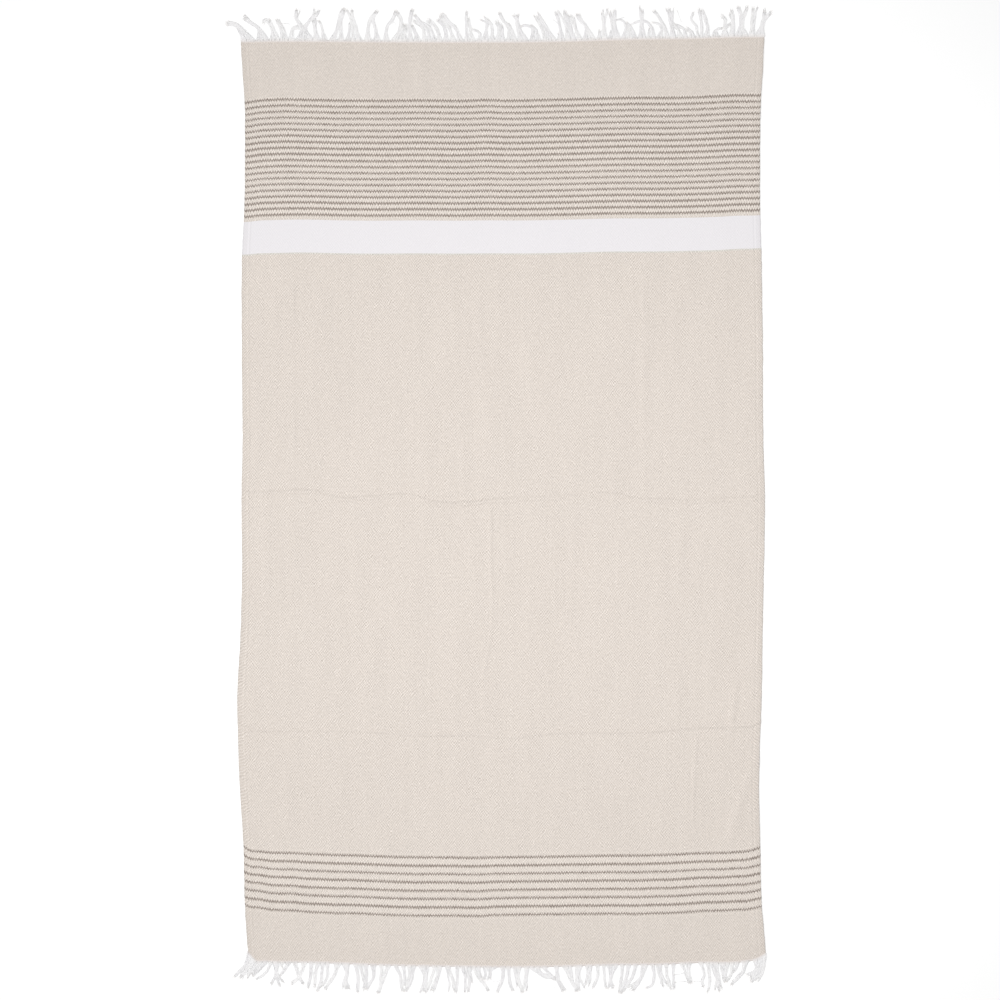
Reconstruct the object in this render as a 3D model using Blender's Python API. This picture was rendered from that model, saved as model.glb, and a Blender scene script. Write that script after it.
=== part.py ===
"""Hammam towel, spread out flat, face up.

One woven cotton sheet about a metre wide, and at each end a narrow white heading that holds the
fringe: bare warp in locks of one or two ends that lean, swing and fork as they fell. The sheet's
two selvedges wander, its picks are bowed, and it keeps soft ridges where it had been folded.

Blender 4.5, metres, +Z up. +X runs across the towel, +Y along it to the end with the white band,
and z = 0 is the surface that it lies on.
"""

from collections import namedtuple

import bmesh
import bpy
import numpy as np

MM = 0.001

# Driving sizes of the cloth.
WIDTH = 1.000
LENGTH = 1.770
THICKNESS = 1.5 * MM
COLUMNS = 16
ROWS = 20
CORNER = 14.0 * MM

# Driving sizes of the headings and the fringe.
HEADING_DEPTH = 7.0 * MM
HEADING_GAP = 0.3 * MM
HEADING_THICKNESS = 1.4 * MM
FOOT_WIDTH = 8.0 * MM
FOOT_SHARE = 0.85
STRAND_WIDTH = 2.6 * MM
TIP_WIDTH = 2.2 * MM
TIP_THICKNESS = 0.9 * MM
CROWN_SHARE = 0.6
LONG_LOCK = 30.0 * MM
END_SPACING = 4.4 * MM
FORK = 3.4 * MM
NECK = 7.0 * MM
CLEARANCE = 0.6 * MM
LEVEL_STEP = 14.0 * MM
LEAST_SEGMENT = 1.5 * MM

# Where the two selvedges lie beside the straight lines at half of WIDTH, in mm. along is measured
# from the cloth's middle, and a shift to +X is positive.
Selvedge = namedtuple("Selvedge", "along left right")
SELVEDGES = [
    Selvedge(-885, 16, 12),
    Selvedge(-850, 13, 9),
    Selvedge(-793, 10, 4),
    Selvedge(-678, 7, 0),
    Selvedge(-562, 0, -3),
    Selvedge(-505, -2, -2),
    Selvedge(-390, -4.5, 2),
    Selvedge(-274, 0, 4),
    Selvedge(-159, 3, 6),
    Selvedge(14, 2, 8),
    Selvedge(71, 4, 6),
    Selvedge(302, 4, 4),
    Selvedge(474, 4, 2),
    Selvedge(553, 8, -1),
    Selvedge(647, 10, -1),
    Selvedge(774, 9, 1),
    Selvedge(820, 6, 4),
    Selvedge(885, 2, 7),
]

# How far a pick is bowed towards +Y, in mm, at the upper and at the lower end of the cloth.
Bow = namedtuple("Bow", "across upper lower")
PICK_BOW = [
    Bow(-500, 0, 27),
    Bow(-487, 0, 12),
    Bow(-465, 0.5, 9.5),
    Bow(-384, 1, 8),
    Bow(-260, 0, 3.3),
    Bow(-100, -0.5, 0),
    Bow(58, 0, -1),
    Bow(134, 1.5, 1),
    Bow(211, 4, 3.3),
    Bow(288, 5.4, 3.7),
    Bow(365, 6.5, 7),
    Bow(455, 9.5, 9),
    Bow(485, 9.5, 15),
    Bow(500, 9.5, 24),
]

# Ridges left by folding, in mm. A lengthwise one runs along Y at its place in X, and the others
# run across. begins and ends are its ends, and reach is the half width of its foot.
Ridge = namedtuple("Ridge", "lengthwise at begins ends height reach")
RIDGES = [
    Ridge(False, 8, -520, 520, 2.4, 13),
    Ridge(False, -440, -520, 520, 2.0, 14),
    Ridge(True, -17, -440, 8, 2.4, 12),
    Ridge(True, 397, -590, -440, 1.6, 26),
]
RIDGE_STATIONS = (-1.0, -0.5, 0.0, 0.5, 1.0)
RIDGE_FADE = 60.0

# The locks of the fringe, in mm: at is the root's place across the towel, lean is how far the tip
# lies to the side of it, reach is how far the tip stands out from the heading, and swing is how
# far the middle of the lock lies beside the straight line from root to tip.
Lock = namedtuple("Lock", "at lean reach swing")
UPPER_LOCKS = [
    Lock(-485, -39, 29, 17), Lock(-456, -36, 44, 4), Lock(-438, -12, 36, 0), Lock(-430, -10, 35, 2),
    Lock(-421, -10, 35, 2), Lock(-412, -13, 35, 3), Lock(-400, 10, 23, 0), Lock(-384, -8, 54, 2),
    Lock(-366, 17, 54, -13), Lock(-353, -6, 35, 2), Lock(-339, -9, 33, 0), Lock(-321, 19, 56, 3),
    Lock(-306, 7, 54, -2), Lock(-291, 2, 35, 0), Lock(-281, -12, 54, 3), Lock(-272, -13, 54, 0),
    Lock(-255, 17, 52, -3), Lock(-237, 0, 52, -8), Lock(-220, 18, 52, 0), Lock(-202, 2, 52, 9),
    Lock(-191, 8, 21, 0), Lock(-182, 0, 21, 0), Lock(-172, 3, 54, -3), Lock(-161, -8, 25, 0),
    Lock(-145, -23, 33, 6), Lock(-136, -29, 44, 6), Lock(-127, -23, 31, 6), Lock(-115, -23, 36, 2),
    Lock(-105, -14, 35, 4), Lock(-89, -27, 44, 2), Lock(-77, -32, 48, 2), Lock(-63, -1, 52, -3),
    Lock(-54, -8, 38, -1), Lock(-42, -10, 17, 6), Lock(-29, -2, 42, 4), Lock(-16, -8, 35, 1),
    Lock(-6, -2, 35, 0), Lock(5, -6, 27, 0), Lock(14, -16, 48, 8), Lock(26, -12, 27, 1),
    Lock(43, -13, 46, -3), Lock(63, -21, 24, 8), Lock(73, -13, 25, 1), Lock(88, -23, 42, 0),
    Lock(100, -29, 42, -1), Lock(110, 0, 8, 0), Lock(118, -12, 50, 1), Lock(131, -13, 52, 1),
    Lock(142, -14, 46, -2), Lock(152, -15, 42, -3), Lock(164, -15, 44, 3), Lock(176, -23, 44, -1),
    Lock(190, 0, 10, 0), Lock(200, 0, 52, -1), Lock(211, 1, 12, 0), Lock(219, -9, 49, -1),
    Lock(228, -8, 50, -1), Lock(237, -12, 31, 6), Lock(248, -9, 23, 0), Lock(257, -12, 25, 1),
    Lock(273, -2, 55, 0), Lock(284, 4, 14, 0), Lock(293, -8, 26, 3), Lock(305, -12, 25, 8),
    Lock(319, -24, 46, 1), Lock(332, -10, 50, 0), Lock(346, -16, 21, 1), Lock(356, -20, 20, 7),
    Lock(367, -10, 12, 0), Lock(378, -10, 43, -4), Lock(387, -5, 49, 3), Lock(397, -7, 47, 4),
    Lock(414, 12, 12, -2), Lock(425, -2, 36, 6), Lock(434, 10, 21, -1), Lock(444, 0, 46, 3),
    Lock(457, 0, 52, 6), Lock(470, 3, 54, -6), Lock(482, 5, 50, 1), Lock(498, 16, 47, -4),
]
LOWER_LOCKS = [
    Lock(-480, -27, 32, -2), Lock(-473, -16, 34, 0), Lock(-467, -5, 30, 0), Lock(-460, -19, 21, 0),
    Lock(-451, -21, 22, 0), Lock(-441, -29, 29, 4), Lock(-430, -2, 42, 2), Lock(-418, -1, 7, 0),
    Lock(-407, -16, 23, -1), Lock(-394, 8, 38, -1), Lock(-376, -13, 38, 2), Lock(-363, -6, 46, 1),
    Lock(-350, -5, 46, -2), Lock(-341, -9, 52, 1), Lock(-331, -12, 45, 4), Lock(-312, -24, 47, 2),
    Lock(-298, 2, 46, -2), Lock(-277, 3, 50, 3), Lock(-267, 7, 33, 0), Lock(-257, -3, 48, 2),
    Lock(-244, -12, 43, 4), Lock(-228, -6, 50, 1), Lock(-215, -19, 50, -4), Lock(-201, 12, 46, 3),
    Lock(-187, 4, 36, 0), Lock(-175, -8, 46, 2), Lock(-165, -12, 41, -1), Lock(-155, -1, 48, 9),
    Lock(-147, 4, 48, 1), Lock(-139, -9, 45, 1), Lock(-127, -17, 46, 1), Lock(-116, -14, 46, 0),
    Lock(-102, 12, 43, 2), Lock(-84, -2, 46, 0), Lock(-73, 6, 46, 2), Lock(-64, 4, 46, 3),
    Lock(-52, 29, 44, -4), Lock(-41, 8, 25, 0), Lock(-32, 4, 25, 0), Lock(-22, 0, 25, 0),
    Lock(-10, -9, 13, 0), Lock(4, -10, 46, 4), Lock(15, 8, 44, -1), Lock(27, 8, 38, 0),
    Lock(37, 7, 46, -4), Lock(51, -6, 46, 0), Lock(62, 22, 19, -2), Lock(78, 25, 22, -1),
    Lock(92, 13, 40, 1), Lock(108, 13, 44, -6), Lock(124, 22, 45, -4), Lock(134, 6, 28, 0),
    Lock(145, 5, 42, -1), Lock(155, -3, 17, 0), Lock(166, -4, 35, 0), Lock(175, -4, 38, 0),
    Lock(187, -8, 40, 1), Lock(199, 5, 40, 0), Lock(210, -1, 40, 0), Lock(222, -6, 41, -7),
    Lock(234, -6, 51, 1), Lock(247, -14, 51, 0), Lock(260, -23, 48, 4), Lock(276, -23, 47, 5),
    Lock(292, -12, 42, 8), Lock(305, 9, 41, -1), Lock(318, 11, 44, -2), Lock(331, 3, 47, 0),
    Lock(350, 10, 36, 0), Lock(361, 6, 35, 0), Lock(385, 5, 43, 3), Lock(397, 2, 52, 2),
    Lock(407, 14, 50, 2), Lock(416, 10, 47, -1), Lock(427, 4, 33, 0), Lock(435, -2, 31, 0),
    Lock(445, -12, 33, 1), Lock(455, -9, 17, 0), Lock(470, -27, 38, 5), Lock(486, -17, 25, 5),
    Lock(497, -15, 29, 2), Lock(506, -9, 28, 1),
]

# Name, linear colour, roughness.
COTTON = ("towel_cotton", (0.76, 0.71, 0.65), 0.92)
WHITE_WARP = ("white_warp", (0.84, 0.83, 0.83), 0.94)


def clear_scene():
    for obj in list(bpy.data.objects):
        bpy.data.objects.remove(obj)


def material(name, colour, roughness):
    made = bpy.data.materials.new(name)
    made.use_nodes = True
    shader = made.node_tree.nodes["Principled BSDF"]
    shader.inputs["Base Color"].default_value = (*colour, 1.0)
    shader.inputs["Roughness"].default_value = roughness
    shader.inputs["Metallic"].default_value = 0.0
    made.diffuse_color = (*colour, 1.0)
    return made


def smooth_through(places, values, at):
    """A smooth curve through the values at these rising places, read at one place or at many."""
    places = np.asarray(places, float)
    values = np.asarray(values, float)
    slopes = np.gradient(values, places)
    i = np.clip(np.searchsorted(places, at) - 1, 0, len(places) - 2)
    span = places[i + 1] - places[i]
    t = np.clip((at - places[i]) / span, 0, 1)
    start = (1 + 2 * t) * (1 - t) ** 2 * values[i] + t * (1 - t) ** 2 * span * slopes[i]
    end = t * t * (3 - 2 * t) * values[i + 1] - t * t * (1 - t) * span * slopes[i + 1]
    return start + end


def selvedge_lines(along):
    """X of the left and of the right selvedge at this place along the cloth."""
    places = [row.along * MM for row in SELVEDGES]
    left = smooth_through(places, [row.left * MM for row in SELVEDGES], along)
    right = smooth_through(places, [row.right * MM for row in SELVEDGES], along)
    return left - WIDTH / 2, right + WIDTH / 2


def pick_bow(across, along):
    """How far a pick is bowed towards +Y here."""
    places = [row.across * MM for row in PICK_BOW]
    upper = smooth_through(places, [row.upper * MM for row in PICK_BOW], across)
    lower = smooth_through(places, [row.lower * MM for row in PICK_BOW], across)
    share = along / LENGTH + 0.5
    return upper * share + lower * (1 - share)


def laid(across, along):
    """Where a point of the straight cloth lies in plan: across from -WIDTH/2 to WIDTH/2."""
    left, right = selvedge_lines(along)
    return left + (right - left) * (across / WIDTH + 0.5), along + pick_bow(across, along)


def ridge_height(across, along):
    """How far the folds lift the cloth off the surface here."""
    lift = 0.0
    for ridge in RIDGES:
        beside, lengthwise = (across, along) if ridge.lengthwise else (along, across)
        off = abs(beside / MM - ridge.at) / ridge.reach
        inside = min(lengthwise / MM - ridge.begins, ridge.ends - lengthwise / MM)
        if off < 1 and inside > 0:
            fade = min(inside / RIDGE_FADE, 1.0)
            lift = max(lift, ridge.height * MM * fade * (1 - off * off) ** 2)
    return lift


def stations(size, count, lengthwise):
    """Even stations over the size, with closer ones at its ends and over the ridges there."""
    near = [CORNER - size / 2, size / 2 - CORNER]
    near += [
        (ridge.at + ridge.reach * share) * MM
        for ridge in RIDGES
        if ridge.lengthwise == lengthwise
        for share in RIDGE_STATIONS
    ]
    ends = [-size / 2, size / 2]
    step = size / count
    even = np.linspace(*ends, count + 1)[1:-1]
    kept = [at for at in even if not any(abs(at - place) < step / 5 for place in near)]
    return sorted(ends + near + kept)


def finished(name, builder, finish, parent):
    """The builder's mesh as an object that hangs on the parent."""
    mesh = bpy.data.meshes.new(name)
    builder.normal_update()
    builder.to_mesh(mesh)
    builder.free()
    mesh.materials.append(finish)
    obj = bpy.data.objects.new(name, mesh)
    bpy.context.scene.collection.objects.link(obj)
    obj.parent = parent
    return obj


def make_cloth(parent):
    """The woven sheet: one thickness everywhere, flat on the surface but for its ridges."""
    across_stations = stations(WIDTH, COLUMNS, lengthwise=True)
    along_stations = stations(LENGTH, ROWS, lengthwise=False)
    builder = bmesh.new()
    faces = []
    for level in (0.0, THICKNESS):
        grid = []
        for along in along_stations:
            row = []
            for across in across_stations:
                x, y = laid(across, along)
                row.append(builder.verts.new((x, y, level + ridge_height(across, along))))
            grid.append(row)
        faces.append(grid)
    under, upper = faces
    last_row = len(along_stations) - 1
    last_column = len(across_stations) - 1
    for j in range(last_row):
        for i in range(last_column):
            corners = ((j, i), (j, i + 1), (j + 1, i + 1), (j + 1, i))
            builder.faces.new([upper[a][b] for a, b in corners])
            builder.faces.new([under[a][b] for a, b in reversed(corners)])
    rim = [(0, i) for i in range(last_column)]
    rim += [(j, last_column) for j in range(last_row)]
    rim += [(last_row, i) for i in range(last_column, 0, -1)]
    rim += [(j, 0) for j in range(last_row, 0, -1)]
    for (a, b), (c, d) in zip(rim, rim[1:] + rim[:1]):
        builder.faces.new((under[a][b], under[c][d], upper[c][d], upper[a][b]))
    return finished("cloth", builder, material(*COTTON), parent)


def strands_of(locks):
    """Roots, tips, reaches and swings of the single strands, from left to right, in metres."""
    found = []
    for lock in locks:
        long_lock = lock.reach * MM >= LONG_LOCK
        for side in (-0.5, 0.5) if long_lock else (0.0,):
            root = lock.at * MM + side * END_SPACING
            tip = (lock.at + lock.lean) * MM + side * FORK
            reach = lock.reach * MM * (1 - 0.12 * (side > 0))
            found.append((root, tip, reach, lock.swing * MM))
    return np.array(sorted(found)).T


def pushed_apart(places, room):
    """The places nearest to these that keep their order and this much room between neighbours."""
    offsets = places - room * np.arange(len(places))
    runs = []
    for offset in offsets:
        runs.append([offset, 1])
        while len(runs) > 1 and runs[-2][0] / runs[-2][1] > runs[-1][0] / runs[-1][1]:
            total, count = runs.pop()
            runs[-1][0] += total
            runs[-1][1] += count
    settled = np.concatenate([np.full(count, total / count) for total, count in runs])
    return settled + room * np.arange(len(places))


def settled_strands(locks):
    """Each strand's reach, and its places across at steps of LEVEL_STEP out from its root. Strands
    keep their order and their room at every step, so that no two of them touch between steps."""
    roots, tips, reaches, swings = strands_of(locks)
    counts = np.ceil(reaches / LEVEL_STEP).astype(int) + 1
    levels = np.arange(counts.max())
    share = levels * LEVEL_STEP / reaches[:, None]
    places = roots[:, None] + (tips - roots)[:, None] * share
    places += swings[:, None] * np.sin(np.pi * np.minimum(share, 1))
    for level in levels:
        there = counts > level
        places[there, level] = pushed_apart(places[there, level], STRAND_WIDTH + CLEARANCE)
    return reaches, places


def ring(builder, x, y, width, height):
    """The four points of a strand's section: a flat foot on the surface, and a narrower crown."""
    half = width / 2
    crown = half * CROWN_SHARE
    points = ((x - half, 0), (x + half, 0), (x + crown, height), (x - crown, height))
    return [builder.verts.new((px, y, pz)) for px, pz in points]


def grow_strand(builder, foot, reach, places, outward):
    """A strand from its foot's four points on the heading out to its tip."""
    root_y = (foot[0].co.y + foot[1].co.y) / 2
    across = LEVEL_STEP * np.arange(len(places))
    rings = [NECK, *(out for out in across[1:] if out < reach - LEAST_SEGMENT), reach]
    below = foot
    for out in rings:
        share = out / reach
        x = float(np.interp(out, across, places))
        width = STRAND_WIDTH + (TIP_WIDTH - STRAND_WIDTH) * share
        height = HEADING_THICKNESS + (TIP_THICKNESS - HEADING_THICKNESS) * share
        above = ring(builder, x, root_y + outward * out, width, height)
        if outward < 0:
            above = [above[1], above[0], above[3], above[2]]
        for k in range(4):
            m = (k + 1) % 4
            builder.faces.new((below[m], below[k], above[k], above[m]))
        below = above
    builder.faces.new(reversed(below))


def fill_section(builder, start, end, far):
    """The upper and lower faces of one section of a heading. start and end are its two points on
    the cloth's side, and far is the row of points on the fringe's side. Every triangle reaches
    from one side to the other, so that none of them is a sliver."""
    middle = len(far) // 2
    builder.faces.new((start[1], end[1], far[middle][1]))
    builder.faces.new((end[0], start[0], far[middle][0]))
    for i in range(len(far) - 1):
        apex = start if i < middle else end
        builder.faces.new((apex[1], far[i + 1][1], far[i][1]))
        builder.faces.new((apex[0], far[i][0], far[i + 1][0]))


def make_fringe(name, locks, outward, parent):
    """A heading with the strands that it holds. outward is 1 at the upper end and -1 at the lower
    end. Seen from above with its fringe pointing away, the heading is built from left to right."""
    hem_along = outward * LENGTH / 2
    left, right = selvedge_lines(hem_along)

    def hem_y(x, beyond=HEADING_GAP + HEADING_DEPTH):
        across = ((x - left) / (right - left) - 0.5) * WIDTH
        return hem_along + pick_bow(across, hem_along) + outward * beyond

    reaches, places = settled_strands(locks)
    feet = places[:, 0]
    spaces = np.diff(feet)
    nearest = np.minimum(np.append(spaces, np.inf), np.insert(spaces, 0, np.inf))
    halves = np.minimum(FOOT_WIDTH, FOOT_SHARE * nearest) / 2

    builder = bmesh.new()

    def column(x, y):
        return [builder.verts.new((x, y, z)) for z in (0.0, HEADING_THICKNESS)]

    order = range(len(feet)) if outward > 0 else range(len(feet) - 1, -1, -1)
    start, end = (left, right) if outward > 0 else (right, left)
    outer = [column(start, hem_y(start))]
    for k in order:
        for side in (-outward, outward):
            x = feet[k] + side * halves[k]
            outer.append(column(x, hem_y(x)))
    outer.append(column(end, hem_y(end)))

    inner_x = [laid(across, hem_along)[0] for across in stations(WIDTH, COLUMNS, lengthwise=True)]
    inner_x = inner_x if outward > 0 else inner_x[::-1]
    inner = [column(x, hem_y(x, HEADING_GAP)) for x in inner_x]

    # Each section of the heading's faces spans one cloth column and every foot outside it.
    first = 0
    for j in range(len(inner) - 1):
        last = first
        while last < len(outer) - 1 and (
            j == len(inner) - 2 or outward * (outer[last][0].co.x - inner_x[j + 1]) < 0
        ):
            last += 1
        fill_section(builder, inner[j], inner[j + 1], outer[first : last + 1])
        builder.faces.new((inner[j][0], inner[j + 1][0], inner[j + 1][1], inner[j][1]))
        first = last
    builder.faces.new((outer[0][0], inner[0][0], inner[0][1], outer[0][1]))
    builder.faces.new((inner[-1][0], outer[-1][0], outer[-1][1], inner[-1][1]))
    for k in range(0, len(outer) - 1, 2):
        builder.faces.new((outer[k + 1][0], outer[k][0], outer[k][1], outer[k + 1][1]))

    for position, k in enumerate(order):
        near, far = outer[1 + 2 * position], outer[2 + 2 * position]
        foot = [near[0], far[0], far[1], near[1]]
        grow_strand(builder, foot, reaches[k], places[k], outward)
    return finished(name, builder, material(*WHITE_WARP), parent)


def stand_on_origin(root, objects):
    """Moves the whole towel so that its bounding box is centred on the origin."""
    corners = np.array([vertex.co for obj in objects for vertex in obj.data.vertices])
    middle = (corners.min(axis=0) + corners.max(axis=0)) / 2
    root.location = (-middle[0], -middle[1], 0.0)


def make_towel():
    clear_scene()
    root = bpy.data.objects.new("towel", None)
    bpy.context.scene.collection.objects.link(root)
    pieces = [
        make_cloth(root),
        make_fringe("fringe_top", UPPER_LOCKS, 1, root),
        make_fringe("fringe_bottom", LOWER_LOCKS, -1, root),
    ]
    stand_on_origin(root, pieces)
    bpy.context.view_layer.update()


make_towel()
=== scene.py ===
"""Looks of the hammam towel: woven sheet with white headings, stripes and band, and its fringe."""

import math
from collections import namedtuple

import bpy
import numpy as np
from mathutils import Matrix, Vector


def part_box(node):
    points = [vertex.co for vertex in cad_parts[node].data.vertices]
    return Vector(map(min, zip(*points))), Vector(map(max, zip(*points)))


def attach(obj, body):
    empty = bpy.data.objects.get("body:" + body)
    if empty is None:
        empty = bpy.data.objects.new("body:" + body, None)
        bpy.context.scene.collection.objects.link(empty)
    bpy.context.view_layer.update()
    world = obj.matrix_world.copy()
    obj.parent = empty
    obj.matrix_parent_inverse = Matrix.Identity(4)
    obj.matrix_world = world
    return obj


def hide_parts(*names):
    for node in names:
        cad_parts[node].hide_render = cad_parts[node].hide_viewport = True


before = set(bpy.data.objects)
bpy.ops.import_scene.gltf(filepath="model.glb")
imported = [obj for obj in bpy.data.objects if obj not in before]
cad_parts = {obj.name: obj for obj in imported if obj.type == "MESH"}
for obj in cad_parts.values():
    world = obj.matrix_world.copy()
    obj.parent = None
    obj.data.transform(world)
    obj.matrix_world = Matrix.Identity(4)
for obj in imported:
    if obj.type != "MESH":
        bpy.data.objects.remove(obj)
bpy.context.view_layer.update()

MM = 0.001

# Sizes that the solids have too.
WIDTH = 1.000
LENGTH = 1.770
THICKNESS = 1.5 * MM
BARE_EDGE = 4.0 * MM

# Where the selvedges lie beside straight lines, in mm, at places along the cloth.
Selvedge = namedtuple("Selvedge", "along left right")
SELVEDGES = [
    Selvedge(-885, 16, 10), Selvedge(-850, 13, 7), Selvedge(-793, 10, 2.2),
    Selvedge(-678, 7, -0.6), Selvedge(-562, 0, -3), Selvedge(-505, -2, -2),
    Selvedge(-390, -4.5, 2), Selvedge(-274, 1.5, 4), Selvedge(-159, 4.6, 6),
    Selvedge(14, 3.8, 8), Selvedge(71, 5.2, 6), Selvedge(302, 4, 4),
    Selvedge(474, 4.8, 1.2), Selvedge(553, 8.6, -1), Selvedge(647, 10, -1),
    Selvedge(774, 9, 1), Selvedge(820, 6, 4), Selvedge(885, 2, 7),
]

# How far a pick is bowed towards +Y, in mm, at the upper and at the lower end.
Bow = namedtuple("Bow", "across upper lower")
PICK_BOW = [
    Bow(-500, 0, 27), Bow(-487, 0, 12), Bow(-465, 0.5, 9.5),
    Bow(-384, 1, 8), Bow(-260, 0, 3.3), Bow(-100, -0.5, 0),
    Bow(58, 0, -1), Bow(134, 1.5, 1), Bow(211, 4, 3.3),
    Bow(288, 5.4, 3.7), Bow(365, 6.5, 7), Bow(455, 9.5, 9),
    Bow(485, 9.5, 15), Bow(500, 9.5, 24),
]

# How much higher than that bow the coloured picks lie, in mm, in the upper stripes, the band and
# the lower stripes.
Drift = namedtuple("Drift", "across upper band lower")
STRIPE_DRIFT = [
    Drift(-500, -6.4, -8.3, -4.0), Drift(-493, -4.6, -5.8, 1.2), Drift(-487, -3.2, -4.0, 6.0),
    Drift(-480, -1.9, -2.6, 8.2), Drift(-465, -0.4, -1.6, 6.0), Drift(-446, 0.4, -1.2, 3.9),
    Drift(-428, 1.1, -0.8, 3.3), Drift(-404, 0.8, -0.3, 2.7), Drift(-380, 0.0, 0.0, 0.4),
    Drift(-352, -0.2, -0.2, 0.2), Drift(-323, -0.9, -0.5, 0.0), Drift(-300, -0.7, -0.5, 0.8),
    Drift(-272, -0.3, -0.4, 1.0), Drift(-246, -0.4, -0.2, 0.5), Drift(-208, -0.1, 0.4, -0.2),
    Drift(-169, 0.7, 1.0, -0.4), Drift(-130, 0.5, 1.0, 0.3), Drift(-92, 0.0, 0.9, 0.8),
    Drift(-60, 0.6, 1.2, 0.4), Drift(-38, 1.6, 1.5, 1.1), Drift(-27, 1.7, 1.6, 2.1),
    Drift(-16, 1.4, 1.6, 2.9), Drift(-4, 0.7, 1.6, 3.2), Drift(10, 0.4, 1.5, 3.5),
    Drift(30, 0.3, 1.3, 3.9), Drift(61, 0.7, 1.1, 3.9), Drift(100, 1.1, 1.0, 3.1),
    Drift(138, 1.0, 1.0, 2.7), Drift(176, 0.9, 0.8, 1.5), Drift(215, 0.6, 0.5, 0.9),
    Drift(254, 0.7, -0.1, 0.4), Drift(292, -0.1, -0.6, 1.3), Drift(330, -0.6, -0.8, 0.6),
    Drift(368, -0.3, -0.8, 1.4), Drift(397, -0.1, -0.8, 3.2), Drift(426, 0.4, -0.6, 3.9),
    Drift(446, 0.7, 0.1, 4.0), Drift(464, 0.6, 0.2, 2.2), Drift(485, 0.3, -0.6, 0.4),
    Drift(500, -0.3, -1.8, -4.9),
]
# Places along the cloth, in mm: the lower drift holds up to the first, the band's from the second
# to the third, and the upper one from the fourth.
DRIFT_AT = (-740, -600, 512, 700)

# Folds left from storage, in mm: narrow creases and, where reach is over 10, soft ripples. line is
# where the crest runs, as (lengthwise, beside) pairs, strength is how much of the height is there,
# as (lengthwise, share) pairs, and reach is the half width of the foot.
Fold = namedtuple("Fold", "along_y line strength height reach")
MIDDLE_CREASE = Fold(
    False,
    (
        (-500, 12), (-426, 17), (-380, 19), (-352, 17), (-338, 11), (-242, 10.5), (-196, 14),
        (-165, 12), (-150, 6), (-12, 6.4), (34, 8.5), (100, 11), (218, 12), (240, 6),
        (265, 2), (310, 1), (356, -3), (402, 0), (500, -2),
    ),
    (
        (-500, 0.5), (-380, 0.8), (-334, 0.6), (-288, 0.8), (-196, 0.6), (-150, 0.7),
        (-104, 0.9), (-58, 1.0), (-12, 0.7), (34, 0.7), (80, 0.5), (172, 0.4), (218, 0.6),
        (265, 0.5), (310, 0.9), (356, 0.45), (402, 0.7), (500, 0.5),
    ),
    3.2,
    7.5,
)
LOWER_CREASE = Fold(
    False,
    (
        (-500, -440), (-380, -440), (-242, -438), (-150, -443), (-58, -441), (34, -446),
        (80, -441), (126, -438), (218, -441), (310, -439), (356, -436), (402, -434),
        (500, -437),
    ),
    (
        (-500, 0.6), (-426, 0.7), (-334, 0.4), (-288, 0.4), (-242, 0.7), (-196, 0.5),
        (-104, 0.8), (-12, 0.5), (80, 0.6), (172, 0.6), (218, 0.7), (265, 0.7),
        (310, 0.9), (356, 0.6), (402, 0.9), (500, 0.7),
    ),
    2.5,
    6.8,
)
FOLDS = [
    MIDDLE_CREASE,
    LOWER_CREASE,
    Fold(
        True,
        ((-430, -28), (-370, -32), (-300, -30), (-270, -24), (-100, -24), (8, -24.5)),
        ((-440, 0), (-390, 0.3), (-220, 0.5), (-160, 0.9), (-60, 1.0), (-20, 0.8), (25, 0)),
        1.35,
        6.8,
    ),
    Fold(True, ((-670, 370), (-440, 378)), ((-680, 0), (-600, 0.7), (-470, 1), (-440, 0)), 1.0, 6),
    Fold(True, ((-450, 441), (-340, 452)), ((-460, 0), (-425, 1), (-365, 0.9), (-335, 0)), 1.5, 12),
    Fold(True, ((-680, 432), (-510, 488)), ((-690, 0), (-640, 1), (-540, 1), (-500, 0)), 1.5, 19),
    Fold(
        True,
        ((70, -401), (480, -401)),
        ((60, 0), (120, 0.8), (260, 0.2), (400, 1), (480, 0)),
        1.1,
        6,
    ),
    Fold(True, ((-140, -360), (0, -362)), ((-140, 0), (-80, 1), (0, 0)), 0.7, 6),
    Fold(True, ((0, 268), (480, 273)), ((0, 0), (60, 1), (440, 1), (500, 0)), 0.8, 11),
]

# Soft swells all over the cloth: a seed, a height, and how far apart their hills are across and
# along, in metres. They fade out over this last stretch at both ends. HILLS is how many there are
# along and across before they repeat.
Swell = namedtuple("Swell", "seed height cell_across cell_along")
SWELLS = [
    Swell(3, 0.35 * MM, 0.11, 0.16),
    Swell(5, 0.14 * MM, 0.034, 0.05),
    Swell(8, 0.06 * MM, 0.022, 0.21),
]
SWELL_FADE = 0.03
HILLS = (64, 256)

# Small waves of both selvedges: their seed, size and length, and how far in they reach.
WAVE_SEED = 12
WAVE_SIZE = 0.5 * MM
WAVE_LENGTH = 0.014
WAVE_DEPTH = 0.03

# Mesh of the cloth. Its points are closer together near the rim and, for the narrow creases, in
# these stretches, in mm. The underside keeps every fourth line of points. The rim stands out by
# RIM_INSET at this height.
FINE_ACROSS = ((-408, -394), (-38, -18), (366, 384), (431, 462))
FINE_ALONG = ((-453, -427), (-10, 26))
FINE_STEP = 1.4 * MM
COARSE_ACROSS = 5.2 * MM
COARSE_ALONG = 6.3 * MM
FINE_SIDE = 17 * MM
FINE_END = 8 * MM
UNDER_STEP = 4
RIM_INSET = 0.5 * MM
RIM_HEIGHT = THICKNESS * 0.45

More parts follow.
